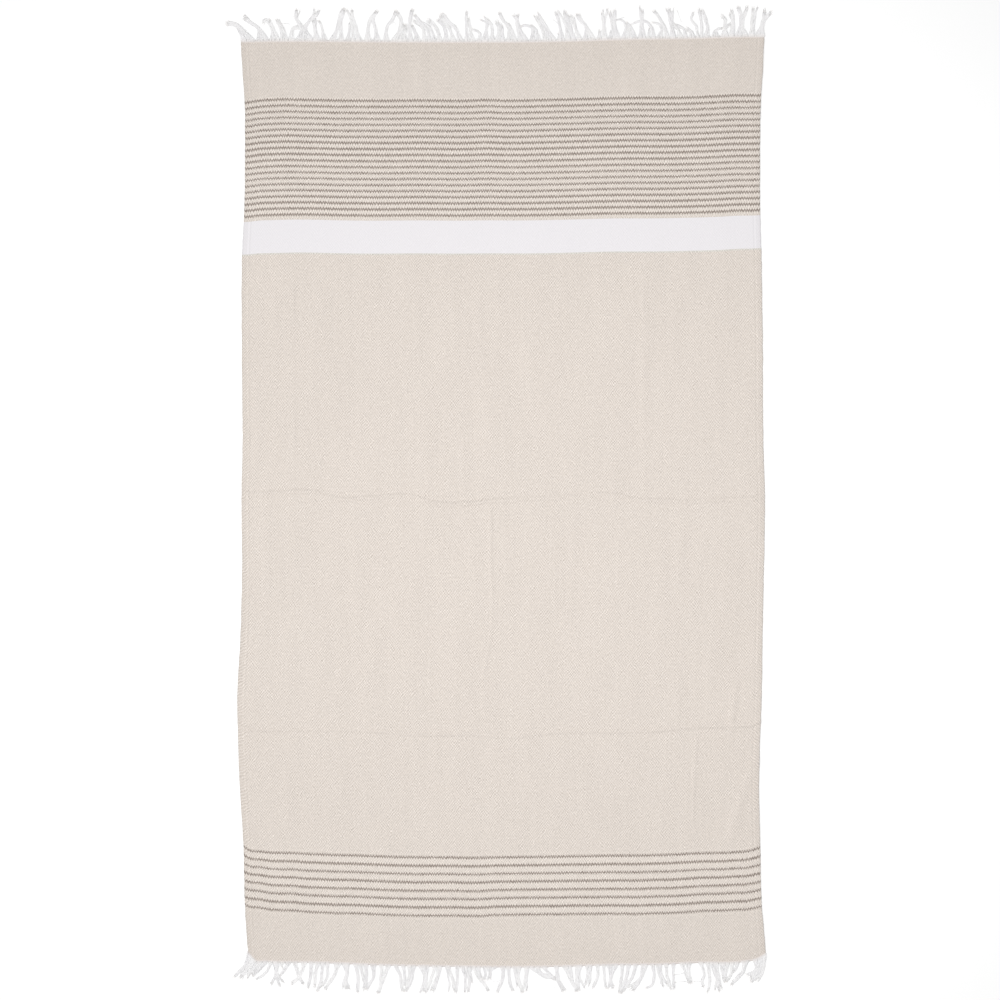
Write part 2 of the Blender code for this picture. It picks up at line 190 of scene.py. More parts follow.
# The locks of the fringe, in mm. Each has its roots from first to last across the towel, a number
# of yarns, how far its cut ends splay, and the points (across, out) that its middle runs through.
# out is measured from a straight line at each end, close to the edge of the heading.
UPPER_ROWS = [
    (-494, -484, 10, 2, (-496, 12), (-500, 22), (-509, 28), (-521, 29)),
    (-484, -469, 11, 3, (-488, 12), (-497, 22), (-506, 27), (-519, 27)),
    (-463, -451, 7, 2, (-459, 15), (-476, 31), (-488, 44)),
    (-451, -442, 5, 2, (-455, 15), (-473, 28), (-490, 39)),
    (-438, -428, 5, 1, (-434, 12), (-442, 31), (-446, 36), (-450, 33), (-449, 27)),
    (-428, -419, 6, 2, (-430, 13), (-438, 35)),
    (-419, -411, 5, 2, (-417, 12), (-426, 35)),
    (-411, -405, 4, 2, (-411, 12), (-423, 35)),
    (-401, -392, 8, 4, (-392, 19), (-384, 22), (-380, 25)),
    (-390, -371, 9, 2, (-378, 19), (-388, 38), (-388, 54)),
    (-377, -371, 2, 0, (-377, 19), (-386, 38), (-382, 52)),
    (-367, -359, 6, 1, (-373, 19), (-363, 33), (-353, 40), (-344, 54)),
    (-361, -357, 4, 1, (-369, 21), (-363, 33), (-355, 44), (-353, 56)),
    (-355, -350, 5, 1, (-352, 15), (-357, 35)),
    (-350, -344, 5, 2, (-350, 15), (-352, 38)),
    (-340, -330, 6, 2, (-338, 15), (-340, 25), (-344, 33)),
    (-323, -311, 8, 1, (-307, 25), (-302, 50), (-298, 56)),
    (-307, -298, 7, 1, (-302, 31), (-296, 54)),
    (-292, -284, 4, 2, (-286, 19), (-284, 35)),
    (-281, -275, 6, 1, (-281, 27), (-290, 54)),
    (-275, -263, 7, 1, (-275, 25), (-279, 40), (-282, 54)),
    (-257, -246, 8, 1, (-250, 21), (-244, 38), (-233, 52)),
    (-240, -227, 8, 1, (-236, 19), (-240, 38), (-236, 50)),
    (-221, -211, 7, 1, (-213, 23), (-204, 35), (-198, 52)),
    (-206, -190, 9, 1, (-188, 21), (-188, 35), (-196, 52)),
    (-192, -185, 5, 2, (-185, 17), (-181, 26)),
    (-183, -175, 5, 2, (-179, 15), (-177, 25)),
    (-171, -165, 9, 1, (-171, 25), (-169, 38), (-165, 54)),
    (-163, -152, 7, 3, (-160, 13), (-165, 25)),
    (-144, -137, 6, 1, (-146, 21), (-163, 33)),
    (-135, -127, 6, 1, (-137, 19), (-152, 33), (-160, 44)),
    (-127, -123, 4, 1, (-131, 21), (-148, 31)),
    (-115, -108, 8, 5, (-119, 19), (-127, 29), (-135, 36)),
    (-106, -96, 7, 2, (-104, 21), (-115, 35)),
    (-89, -81, 7, 2, (-96, 23), (-112, 44)),
    (-81, -67, 8, 1, (-85, 23), (-94, 29), (-106, 48)),
    (-64, -54, 7, 1, (-62, 21), (-62, 38), (-60, 52)),
    (-54, -46, 6, 2, (-56, 25), (-58, 38)),
    (-42, -35, 5, 1, (-35, 8), (-41, 14), (-48, 17)),
    (-29, -25, 4, 1, (-23, 21), (-19, 31), (-27, 42)),
    (-25, -21, 4, 1, (-23, 21), (-23, 29), (-33, 35)),
    (-17, -6, 8, 3, (-14, 27), (-19, 35)),
    (-8, 2, 6, 2, (0, 19), (-4, 35)),
    (4, 15, 7, 3, (6, 17), (4, 29)),
    (15, 21, 6, 1, (19, 21), (9, 35), (2, 48)),
    (23, 36, 8, 3, (27, 13), (17, 27)),
    (38, 48, 6, 1, (36, 23), (34, 40), (29, 45)),
    (48, 55, 5, 1, (40, 21), (36, 36), (38, 46)),
    (61, 73, 7, 2, (63, 21), (55, 24), (46, 24)),
    (73, 80, 5, 2, (71, 17), (63, 25)),
    (86, 98, 7, 2, (82, 21), (69, 42)),
    (98, 103, 5, 1, (88, 21), (75, 42)),
    (103, 109, 5, 1, (92, 21), (77, 48)),
    (113, 121, 4, 2, (115, 13)),
    (117, 127, 7, 1, (117, 27), (113, 40), (109, 52)),
    (130, 134, 4, 1, (128, 25), (121, 40), (115, 54)),
    (134, 138, 5, 1, (130, 25), (127, 54)),
    (140, 150, 7, 2, (138, 21), (130, 48)),
    (151, 159, 7, 5, (148, 21), (140, 44)),
    (163, 171, 7, 2, (167, 23), (157, 35), (151, 46)),
    (173, 176, 5, 1, (169, 21), (159, 35), (153, 44)),
    (180, 184, 4, 1, (173, 17), (161, 33), (155, 46)),
    (190, 199, 5, 2, (194, 15)),
    (199, 203, 5, 1, (201, 27), (199, 54)),
    (203, 207, 5, 1, (203, 27), (209, 56)),
    (211, 221, 5, 2, (217, 17)),
    (219, 228, 7, 1, (217, 31), (215, 52)),
    (226, 234, 7, 1, (224, 25), (223, 54)),
    (236, 244, 5, 1, (244, 25), (238, 34), (228, 35)),
    (246, 257, 8, 4, (251, 17), (244, 27)),
    (259, 263, 4, 1, (255, 21), (247, 29)),
    (271, 276, 6, 1, (274, 35), (272, 60)),
    (276, 282, 5, 1, (276, 35), (276, 56)),
    (284, 292, 5, 2, (290, 19)),
    (294, 299, 6, 1, (294, 21), (284, 31), (267, 32), (255, 27)),
    (305, 313, 6, 2, (313, 17), (309, 26), (297, 31)),
    (319, 328, 7, 1, (319, 21), (305, 44), (299, 52)),
    (332, 340, 10, 2, (332, 25), (330, 42), (326, 56)),
    (336, 340, 2, 0, (334, 35), (336, 58)),
    (345, 355, 6, 2, (345, 17), (334, 27)),
    (357, 363, 5, 2, (355, 19), (340, 25)),
    (365, 378, 7, 3, (370, 12), (361, 18)),
    (382, 386, 5, 1, (378, 25), (370, 38), (374, 50)),
    (386, 391, 6, 1, (390, 27), (384, 56)),
    (393, 403, 7, 1, (401, 19), (397, 38), (391, 54)),
    (411, 424, 7, 2, (416, 13), (424, 19), (430, 19)),
    (428, 434, 5, 2, (438, 21), (447, 29)),
    (434, 441, 6, 2, (434, 21), (436, 35), (428, 44)),
    (443, 447, 6, 1, (451, 35), (447, 54)),
    (447, 451, 5, 1, (451, 31), (443, 46)),
    (457, 464, 8, 1, (466, 35), (461, 60)),
    (470, 480, 7, 1, (468, 25), (472, 44), (478, 61)),
    (480, 489, 7, 1, (487, 35), (489, 58)),
    (487, 491, 3, 0, (491, 35), (497, 60)),
    (493, 503, 8, 2, (503, 19), (509, 38), (512, 56)),
    (503, 511, 8, 2, (507, 19), (512, 38), (524, 50)),
]
LOWER_ROWS = [
    (-482, -476, 8, 2, (-490, 15), (-499, 23), (-507, 31)),
    (-478, -473, 8, 2, (-484, 17), (-494, 33)),
    (-474, -471, 6, 2, (-478, 19), (-482, 33)),
    (-471, -467, 5, 2, (-473, 19), (-471, 29)),
    (-461, -453, 6, 2, (-469, 17), (-476, 25)),
    (-451, -444, 6, 2, (-457, 15), (-469, 27)),
    (-438, -434, 5, 1, (-446, 23), (-465, 35)),
    (-432, -428, 4, 1, (-428, 25), (-436, 46)),
    (-428, -425, 4, 1, (-426, 29), (-419, 50)),
    (-426, -423, 3, 1, (-423, 29), (-411, 42)),
    (-417, -411, 4, 2, (-417, 12)),
    (-407, -398, 7, 2, (-411, 17), (-419, 29)),
    (-394, -388, 6, 1, (-386, 23), (-375, 44)),
    (-377, -369, 6, 1, (-380, 27), (-396, 44)),
    (-361, -357, 6, 1, (-361, 31), (-365, 52)),
    (-350, -344, 6, 1, (-352, 29), (-352, 52)),
    (-340, -334, 6, 1, (-340, 35), (-346, 58)),
    (-330, -327, 5, 1, (-330, 35), (-340, 52)),
    (-315, -302, 8, 2, (-315, 27), (-332, 54)),
    (-298, -294, 4, 1, (-292, 27), (-296, 38), (-298, 54)),
    (-294, -292, 4, 1, (-292, 27), (-296, 38), (-292, 54)),
    (-292, -288, 4, 1, (-290, 27), (-292, 40), (-286, 54)),
    (-277, -271, 6, 1, (-271, 23), (-269, 38), (-271, 60)),
    (-267, -261, 5, 2, (-261, 27), (-257, 42)),
    (-257, -252, 7, 5, (-254, 35), (-257, 58)),
    (-244, -236, 7, 1, (-240, 31), (-252, 54)),
    (-227, -223, 6, 1, (-225, 31), (-227, 48), (-231, 61)),
    (-215, -208, 7, 1, (-219, 31), (-227, 48), (-229, 60)),
    (-200, -194, 6, 1, (-188, 31), (-185, 58)),
    (-185, -181, 5, 1, (-179, 31), (-179, 48)),
    (-173, -169, 6, 1, (-171, 35), (-179, 58)),
    (-163, -160, 5, 1, (-167, 35), (-173, 54)),
    (-152, -146, 5, 1, (-142, 31), (-144, 46), (-150, 61)),
    (-146, -142, 5, 1, (-140, 33), (-140, 61)),
    (-138, -135, 5, 1, (-138, 35), (-142, 58)),
    (-125, -121, 6, 1, (-129, 35), (-140, 60)),
    (-115, -110, 9, 2, (-117, 31), (-127, 60)),
    (-101, -99, 2, 0, (-96, 31), (-94, 58)),
    (-100, -94, 6, 1, (-89, 33), (-85, 56)),
    (-81, -77, 6, 1, (-79, 31), (-81, 60)),
    (-71, -67, 6, 1, (-64, 33), (-64, 60)),
    (-64, -60, 6, 1, (-56, 35), (-58, 60)),
    (-54, -52, 2, 0, (-52, 27), (-50, 46)),
    (-50, -46, 6, 1, (-39, 31), (-29, 42), (-19, 58)),
    (-39, -37, 4, 2, (-33, 31), (-31, 38)),
    (-29, -27, 4, 2, (-25, 25), (-27, 36)),
    (-21, -16, 6, 2, (-17, 27), (-19, 38)),
    (-6, -4, 3, 1, (-10, 15), (-16, 27)),
    (6, 11, 7, 1, (9, 27), (-2, 60)),
    (17, 21, 6, 1, (21, 33), (27, 58)),
    (29, 32, 5, 1, (34, 31), (38, 52)),
    (36, 42, 6, 1, (38, 35), (46, 60)),
    (52, 55, 5, 1, (52, 33), (46, 60)),
    (55, 57, 4, 1, (54, 33), (54, 58)),
    (61, 65, 5, 1, (73, 21), (92, 31), (109, 33)),
    (73, 80, 5, 1, (82, 24), (98, 31), (107, 35)),
    (82, 92, 5, 1, (94, 21), (102, 29), (111, 36)),
    (109, 113, 9, 2, (113, 31), (125, 58)),
    (125, 134, 7, 1, (136, 31), (151, 58)),
    (134, 138, 5, 1, (140, 23), (142, 40)),
    (148, 150, 4, 1, (150, 31), (153, 54)),
    (153, 155, 4, 1, (151, 25), (148, 58)),
    (155, 157, 4, 1, (153, 29), (155, 58)),
    (157, 159, 3, 1, (155, 27), (165, 52)),
    (169, 173, 5, 1, (171, 27), (167, 46)),
    (175, 178, 5, 1, (176, 27), (173, 50)),
    (188, 192, 6, 1, (190, 29), (182, 52)),
    (201, 203, 5, 1, (203, 27), (207, 52)),
    (209, 219, 7, 1, (215, 25), (213, 52)),
    (224, 228, 6, 1, (217, 29), (215, 38), (221, 52)),
    (236, 240, 6, 1, (236, 33), (232, 61)),
    (247, 253, 7, 1, (246, 31), (236, 61)),
    (261, 265, 6, 1, (257, 31), (240, 58)),
    (276, 280, 7, 2, (274, 29), (259, 58)),
    (280, 284, 6, 2, (276, 27), (265, 42), (251, 52)),
    (294, 297, 6, 1, (299, 31), (295, 46), (284, 52)),
    (305, 308, 4, 1, (309, 29), (317, 50)),
    (308, 311, 4, 1, (313, 27), (326, 48)),
    (319, 324, 6, 1, (324, 31), (332, 54)),
    (334, 337, 4, 1, (336, 31), (338, 56)),
    (349, 359, 6, 1, (357, 19), (367, 44)),
    (359, 368, 6, 1, (365, 19), (370, 42)),
    (386, 391, 6, 1, (395, 27), (390, 42), (393, 50)),
    (399, 403, 6, 1, (405, 33), (403, 60)),
    (407, 413, 6, 1, (418, 31), (424, 58)),
    (416, 418, 4, 1, (422, 29), (428, 54)),
    (418, 420, 3, 1, (420, 29), (416, 56)),
    (426, 430, 4, 1, (430, 23), (432, 35)),
    (430, 436, 6, 2, (434, 23), (436, 40)),
    (436, 441, 5, 1, (438, 19), (434, 36)),
    (447, 451, 6, 1, (445, 27), (438, 40)),
    (455, 461, 6, 2, (455, 15), (449, 23)),
    (468, 480, 9, 2, (468, 21), (459, 33), (447, 44)),
    (491, 497, 6, 1, (495, 15), (487, 23), (478, 27)),
    (499, 505, 6, 2, (497, 19), (484, 33)),
    (505, 510, 7, 2, (503, 19), (486, 40)),
    (509, 514, 7, 2, (507, 19), (497, 38)),
]
Lock = namedtuple("Lock", "first last yarns splay path")
UPPER_LOCKS = [Lock(*row[:4], path=row[4:]) for row in UPPER_ROWS]
LOWER_LOCKS = [Lock(*row[:4], path=row[4:]) for row in LOWER_ROWS]

# Lone threads that lie between the locks, as points (across, out).
UPPER_THREADS = [
    ((-419, 27), (-409, 28), (-400, 27)),
    ((213, 31), (226, 36), (242, 40)),
    ((105, 36), (111, 31), (117, 25)),
    ((343, 54), (347, 42), (351, 31)),
    ((-204, 27), (-200, 31), (-196, 25)),
]
LOWER_THREADS = [
    ((336, 27), (347, 26), (357, 23)),
    ((338, 42), (349, 40), (361, 40)),
    ((374, 40), (382, 39), (388, 40)),
    ((-16, 21), (-14, 35), (-6, 41), (4, 36), (6, 23)),
    ((105, 35), (107, 44), (109, 54)),
]

# The two ends. outward is the way out along Y, and line is the straight line, in mm, that the locks
# are measured from. neck is how far the yarns of a lock run before they lie together, roots is how
# far beside it they may leave the cloth, and loose is how loosely they lie.
End = namedtuple("End", "outward line neck roots loose locks threads")
UPPER_END = End(1, 885.3, 17.0 * MM, 7.0 * MM, 1.3, UPPER_LOCKS, UPPER_THREADS)
LOWER_END = End(-1, -884.9, 11.0 * MM, 2.5 * MM, 1.4, LOWER_LOCKS, LOWER_THREADS)

# Weave: a point twill that makes small lozenges. Places are along the cloth.
END_PITCH = 0.82 * MM
PICK_PITCH = 1.02 * MM
REPEAT = 6
END_WANDER = 6.0 * MM
PICK_WANDER = 5.0 * MM
LOZENGE_PATCH = 11 * MM
SELVEDGE_WIDTH = 16.0 * MM
SELVEDGE_RIB = 3.1 * MM
UPPER_PANEL = 779.0 * MM
LOWER_PANEL = -796.0 * MM
BAND = (479.8 * MM, 543.1 * MM)
BAND_LINE = 3.0 * MM

# Dark stripes: where the middle of the first one lies, their pitch, number and width. Their edges
# swing with the twill's points, and are this soft.
Stripes = namedtuple("Stripes", "first pitch count width")
UPPER_STRIPES = Stripes(773.7 * MM, 11.61 * MM, 20, 4.1 * MM)
LOWER_STRIPES = Stripes(-679.6 * MM, 15.95 * MM, 8, 4.3 * MM)
STRIPE_ZIGZAG = 1.3 * MM
STRIPE_EDGE = 0.9 * MM

# Colours of the yarns, as linear red, green and blue.
WARP = (0.694, 0.684, 0.694)
WEFT = (0.622, 0.558, 0.500)
DARK_WEFT = (0.184, 0.147, 0.123)
BAND_WEFT = (0.729, 0.706, 0.726)
EDGE_WEFT = (0.675, 0.608, 0.565)
LINE_WEFT = (0.590, 0.562, 0.510)
YARN = (0.84, 0.834, 0.83)
DEEP_YARN = (0.775, 0.765, 0.775)
FLOOR_COLOUR = (0.93, 0.93, 0.93, 1.0)

# How much of the warp's colour shows on a raised end, and how much of it dark picks hide.
WARP_SHOWS = 0.4
WARP_HIDDEN = -0.7

# How much the dark of a stripe varies with the lozenges, the fuzz and the flecks, and its mean.
DARK_LOZENGE = 0.35
DARK_FUZZ = 0.4
DARK_FLECK = 1.8
DARK_MEAN = 0.86
DARK_LOWER = -0.06

# How much these lighten or darken the cloth.
# Painted shade: how much darker the cloth is in the gaps where the yarns dip below their crowns.
GAP_PAINTED_SHADE = 0.05
FUZZ_SHADE = 0.30
SLUB_SHADE = 0.12
STREAK_SHADE = 0.07
THREAD_SHADE = 0.03
LOZENGE_SHADE = 0.155
RIB_SHADE = 0.09
SELVEDGE_SHADE = -0.018
UPPER_PANEL_SHADE = -0.006
LOWER_PANEL_SHADE = -0.004
UPPER_STRIPES_SHADE = 0.045
LOWER_STRIPES_SHADE = 0.033

# How much weaker the lozenges are in the end panels, and all unevenness in band and edges.
UPPER_PANEL_CALM = -0.58
LOWER_PANEL_CALM = -0.25
PLAIN_CALM = -0.8

# Yarns of the fringe, two for each one in the tables. They begin on the cloth. Their rings stand
# RING_STEP apart, and closer where they turn.
FRINGE_SEED = 41
YARN_RADIUS = 0.57 * MM
YARN_SIDES = 6
YARNS_FOR_ONE = 2
RING_STEP = 5.3 * MM
RING_TURN = 0.3
PLY_LENGTH = 2.6 * MM
# Painted shade over this first stretch of a yarn, where it leaves the cloth.
SHADED_ROOT_LENGTH = 7 * MM
ON_CLOTH = 2.5 * MM

# Shape of a lock: the most of its length that its neck takes, how fast it gathers, how flat it is,
# how much lower its tip lies, how unevenly it is cut, the taper of a yarn's last two rings, how
# yarns lie round each other and twist, in radians, how far their roots stray, in mm, and how much
# of the depth of their colour they share.
NECK_SHARE = 0.7
GATHERING = 1.7
FLATNESS = 0.35
TIP_FALL = 0.78
UNEVEN_CUT = 0.14
YARN_TAPER = (0.85, 0.55)
SPIRAL = 2.4
LOCK_TWIST = 2.5
ROOT_STRAY = 0.25
LOCK_SHARE = 0.6

# Ranges of size and length, in mm, of the sway of a lock and of the waves of its yarns.
LOCK_SWAY = ((0.3, 0.7), (5, 8))
YARN_WAVE = ((0.15, 0.4), (2.5, 5))

# Lone threads, and loose fibres: one at each yarn's end, and one beside some yarns.
THREAD_RADIUS = YARN_RADIUS * 0.7
THREAD_HEIGHT = YARN_RADIUS * 3
HAIR_RADIUS = 0.22 * MM
HAIR_RINGS = 4
HAIR_SIDES = 3
HAIR_SHARE = 0.25
END_HAIR = (3, 6)
SIDE_HAIR = (5, 10)

# Studio, in metres and watts.
FLOOR_HALF = 14.0
FLOOR_DROP = 0.0003
WORLD_STRENGTH = 0.42
Lamp = namedtuple("Lamp", "name place target size power")
LAMPS = [
    Lamp("overhead", (0.14, -0.04, 2.7), (0.14, -0.04, 0.0), 1.6, 54.1),
    Lamp("from_left", (-5.2, -0.9, 4.4), (0.0, -0.1, 0.0), 2.4, 140),
]
LENS = 200.0
SENSOR_WIDTH = 36.0
VIEW_WIDTH = 1.92
VIEW_MIDDLE = (0.0033, -0.0008)


def smooth_through(places, values, at):
    """A smooth curve through the values at these rising places."""
    places = np.asarray(places, float)
    values = np.asarray(values, float)
    slopes = np.gradient(values, places)
    i = np.clip(np.searchsorted(places, at) - 1, 0, len(places) - 2)
    span = places[i + 1] - places[i]
    t = np.clip((at - places[i]) / span, 0, 1)
    start = (1 + 2 * t) * (1 - t) ** 2 * values[i] + t * (1 - t) ** 2 * span * slopes[i]
    end = t * t * (3 - 2 * t) * values[i + 1] - t * t * (1 - t) * span * slopes[i + 1]
    return start + end


def read_table(table, column, at):
    """A smooth curve through a column of a table in mm, over its first column."""
    places = [row[0] * MM for row in table]
    return smooth_through(places, [getattr(row, column) * MM for row in table], at)


def selvedge_lines(along):
    """Where both selvedges lie at this place along the cloth, from its middle line."""
    left = read_table(SELVEDGES, "left", along)
    right = read_table(SELVEDGES, "right", along)
    return left - WIDTH / 2, right + WIDTH / 2


def pick_bow(across, along):
    """How far a pick is bowed towards +Y at this place."""
    upper = read_table(PICK_BOW, "upper", across)
    lower = read_table(PICK_BOW, "lower", across)
    share = along / LENGTH + 0.5
    return upper * share + lower * (1 - share)


def stripe_drift(across, along):
    """How much higher than the bow a coloured pick lies at this place."""
    upper = read_table(STRIPE_DRIFT, "upper", across)
    band = read_table(STRIPE_DRIFT, "band", across)
    lower = read_table(STRIPE_DRIFT, "lower", across)
    low, middle_low, middle_high, high = (at * MM for at in DRIFT_AT)
    from_lower = np.clip((middle_low - along) / (middle_low - low), 0, 1)
    from_upper = np.clip((along - middle_high) / (high - middle_high), 0, 1)
    from_band = np.clip((along - middle_low) / (middle_high - middle_low), 0, 1) - from_upper
    return lower * from_lower + band * from_band + upper * from_upper


# The solids stand with the middle of their box at the origin, so the cloth's own middle is here.
cloth_low, cloth_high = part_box("cloth")
MIDDLE_X = cloth_low.x + WIDTH / 2 - min(row.left for row in SELVEDGES) * MM
MIDDLE_Y = cloth_high.y - LENGTH / 2 - max(row.upper for row in PICK_BOW) * MM


def laid(across, along):
    """Where a point of the straight cloth lies in plan."""
    left, right = selvedge_lines(along)
    x = left + (right - left) * (across / WIDTH + 0.5)
    return x + MIDDLE_X, along + pick_bow(across, along) + MIDDLE_Y


def soft_field(seed, x, y, cell_x, cell_y):
    """Smooth hills and hollows between -1 and 1, about this far apart."""
    rng = np.random.default_rng(seed)
    hills = rng.uniform(-1, 1, HILLS)
    px, py = x / cell_x + 0.37, y / cell_y + 0.61
    i, j = np.floor(px).astype(int), np.floor(py).astype(int)
    s, t = px - i, py - j
    s, t = s * s * (3 - 2 * s), t * t * (3 - 2 * t)
    left, right = i % HILLS[1], (i + 1) % HILLS[1]
    near, far = j % HILLS[0], (j + 1) % HILLS[0]
    low = hills[near, left] * (1 - s) + hills[near, right] * s
    high = hills[far, left] * (1 - s) + hills[far, right] * s
    return low * (1 - t) + high * t


def lift_of(across, along):
    """How far the cloth stands off the floor."""
    lift = np.zeros(np.broadcast(across, along).shape)
    for fold in FOLDS:
        beside, lengthwise = (across, along) if fold.along_y else (along, across)
        crest = smooth_through(*zip(*fold.line), lengthwise / MM)
        share = np.interp(lengthwise / MM, *zip(*fold.strength))
        off = np.abs(beside / MM - crest) / fold.reach
        shape = np.where(off < 1, (1 - np.minimum(off, 1)) ** 2 * (1 + 2 * off), 0)
        lift = np.maximum(lift, fold.height * MM * share * shape)
    swell = sum(
        row.height * (1 + soft_field(row.seed, across, along, row.cell_across, row.cell_along))
        for row in SWELLS
    )
    return lift + swell * np.clip((LENGTH / 2 - np.abs(along)) / SWELL_FADE, 0, 1)


def feed(tree, place, value):
    """Links a node's input to a Field, or sets it to a number."""
    if isinstance(value, Field):
        tree.links.new(value.socket, place)
    else:
        place.default_value = value


class Field:
    """A number in a material's node tree, with arithmetic on it."""

    def __init__(self, tree, socket):
        self.tree = tree
        self.socket = socket

    def op(self, operation, *others):
        """This number after an operation of the Math node, with others."""
        node = self.tree.nodes.new("ShaderNodeMath")
        node.operation = operation
        for place, value in zip(node.inputs, (self, *others)):
            feed(self.tree, place, value)
        return Field(self.tree, node.outputs[0])

    def __add__(self, other):
        return self.op("ADD", other)

    def __sub__(self, other):
        return self.op("SUBTRACT", other)

    def __mul__(self, other):
        return self.op("MULTIPLY", other)

    def __truediv__(self, other):
        return self.op("DIVIDE", other)

    def __lt__(self, other):
        return self.op("LESS_THAN", other)

    def __gt__(self, other):
        return self.op("GREATER_THAN", other)

    def __mod__(self, other):
        return self.op("FLOORED_MODULO", other)

    def __abs__(self):
        return self.op("ABSOLUTE")

    def flipped(self):
        """1 where it was 0, and 0 where it was 1."""
        return self * -1 + 1

    def either(self, other):
        """The larger of the two."""
        return self.op("MAXIMUM", other)

    def clipped(self):
        return self.op("MAXIMUM", 0.0).op("MINIMUM", 1.0)

    def towards(self, other, share):
        """self where share is 0, other where it is 1."""
        return self + (other - self) * share


def attribute(tree, name):
    """The three numbers of a point attribute."""
    node = tree.nodes.new("ShaderNodeAttribute")
    node.attribute_name = name
    split = tree.nodes.new("ShaderNodeSeparateXYZ")
    tree.links.new(node.outputs["Vector"], split.inputs[0])
    return [Field(tree, out) for out in split.outputs]


def noise(x, y, z=0.0, detail=1.0, white=False):
    """Noise about 1 unit fine at this place, from 0 to 1."""
    tree = x.tree
    joined = tree.nodes.new("ShaderNodeCombineXYZ")
    for place, value in zip(joined.inputs, (x, y, z)):
        feed(tree, place, value)
    if white:
        node = tree.nodes.new("ShaderNodeTexWhiteNoise")
        tree.links.new(joined.outputs[0], node.inputs["Vector"])
        return Field(tree, node.outputs["Value"])
    node = tree.nodes.new("ShaderNodeTexNoise")
    node.inputs["Scale"].default_value = 1.0
    node.inputs["Detail"].default_value = detail
    tree.links.new(joined.outputs[0], node.inputs["Vector"])
    return Field(tree, node.outputs["Fac"])


def colour_mix(tree, first, second, share, blend="MIX"):
    """The first colour where share is 0, the second where it is 1."""
    node = tree.nodes.new("ShaderNodeMix")
    node.data_type = "RGBA"
    node.blend_type = blend
    for name, value in (("A", first), ("B", second)):
        place = next(i for i in node.inputs if i.name == name and i.type == "RGBA")
        if isinstance(value, tuple):
            place.default_value = (*value, 1.0)
        else:
            tree.links.new(value, place)
    factor = next(i for i in node.inputs if i.name == "Factor" and i.type == "VALUE")
    feed(tree, factor, share)
    return next(o for o in node.outputs if o.type == "RGBA")


def grey(value):
    """A number as a colour, to multiply others by."""
    node = value.tree.nodes.new("ShaderNodeCombineColor")
    for place in node.inputs[:3]:
        value.tree.links.new(value.socket, place)
    return node.outputs[0]


def new_material(name, roughness, sheen):
    """A matt material with this much sheen, its node tree and its shader."""
    made = bpy.data.materials.new(name)
    made.use_nodes = True
    shader = made.node_tree.nodes["Principled BSDF"]
    shader.inputs["Roughness"].default_value = roughness
    shader.inputs["Sheen Weight"].default_value = sheen
    shader.inputs["Sheen Roughness"].default_value = 0.6
    shader.inputs["Specular IOR Level"].default_value = 0.15
    return made, made.node_tree, shader


def bump(tree, shader, height, distance, strength):
    """Lets this height tilt the shader's surface."""
    node = tree.nodes.new("ShaderNodeBump")
    node.inputs["Distance"].default_value = distance
    node.inputs["Strength"].default_value = strength
    tree.links.new(height.socket, node.inputs["Height"])
    tree.links.new(node.outputs["Normal"], shader.inputs["Normal"])


def in_stripes(along, stripes):
    """1 on these stripes, and 1 in all of their zone."""
    steps = (along * -1 + stripes.first) / stripes.pitch
    off = abs(steps - steps.op("ROUND")) * stripes.pitch
    near = ((off * -1 + stripes.width / 2) / STRIPE_EDGE + 0.5).clipped()
    zone = abs(steps - (stripes.count - 1) / 2) < stripes.count / 2
    return near * zone, zone


def crossing_height(beside, above, raised):
    """The height of the yarn on top, from 0 to 1, across an end and a pick."""
    warp_round = (beside * 2 - 1).op("POWER", 2.0).flipped()
    weft_round = (above * 2 - 1).op("POWER", 2.0).flipped()
    warp_high = warp_round * (weft_round * 0.35 + 0.65)
    weft_high = weft_round * (warp_round * 0.35 + 0.65)
    return weft_high.towards(warp_high, raised)


def lozenges(across, along, ends, picks):
    """Their light and dark. In each patch of cloth one of their two diagonals is the stronger."""
    turn = 2 * math.pi / REPEAT
    rising = ((ends + picks) * turn).op("COSINE")
    falling = ((ends - picks) * turn).op("COSINE")
    patch_a = noise(across / LOZENGE_PATCH, along / LOZENGE_PATCH, 7.7)
    patch_b = noise(across / LOZENGE_PATCH, along / LOZENGE_PATCH, 2.6)
    return rising * (patch_a * 2.6 - 0.8) + falling * (patch_b * 2.6 - 0.8)


